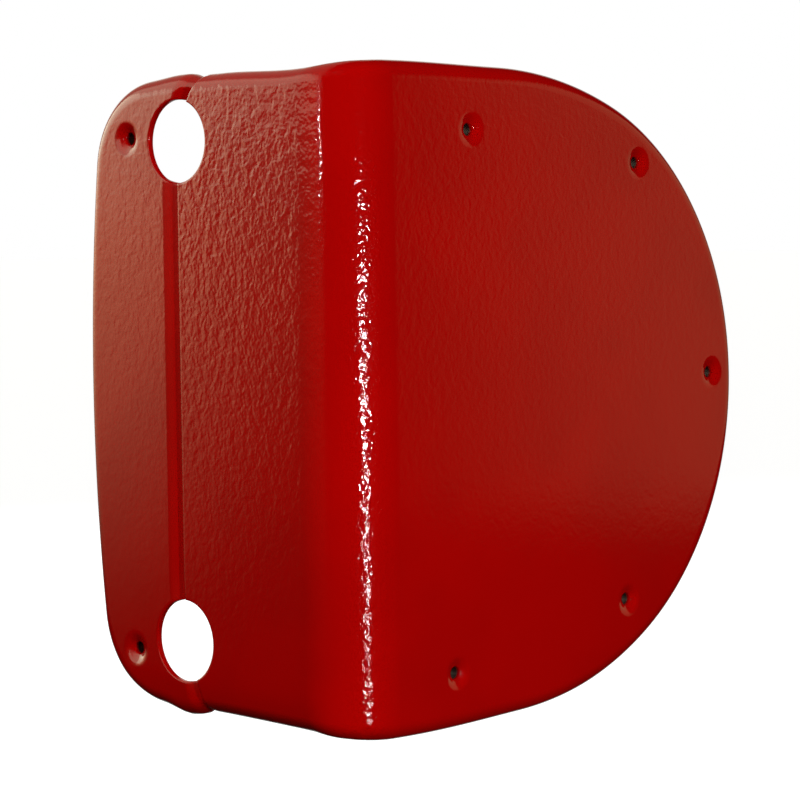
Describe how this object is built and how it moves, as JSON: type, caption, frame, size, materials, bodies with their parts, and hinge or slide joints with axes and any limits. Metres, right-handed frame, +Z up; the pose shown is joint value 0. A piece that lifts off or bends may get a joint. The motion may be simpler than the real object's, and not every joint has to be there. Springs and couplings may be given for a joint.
{
  "type": "alarm bell cover",
  "caption": "Two-piece formed sheet-metal cover: D-shaped face, large bend, side with round through holes, dimpled screw holes, rolled rim and open back.",
  "frame": {"origin": "midway between the two edge screws, on the plane of their dimples' floors", "axes": "+Z up; -X out of the side's outer face; -Y out of the D-shaped face; the cover is open towards +X and +Y"},
  "size_m": [0.1865, 0.117, 0.2],
  "materials": {
    "shell_coat": "gloss red powder coat with orange peel",
    "strip_coat": "gloss red powder coat, smoother",
    "zinc_steel": "bright zinc plate"
  },
  "bodies": {
    "root": {"front_shell": "shell_coat", "edge_strip": "strip_coat", "lap_studs": "zinc_steel", "lap_washers": "zinc_steel", "lap_nuts": "zinc_steel"}
  },
  "joints": []
}
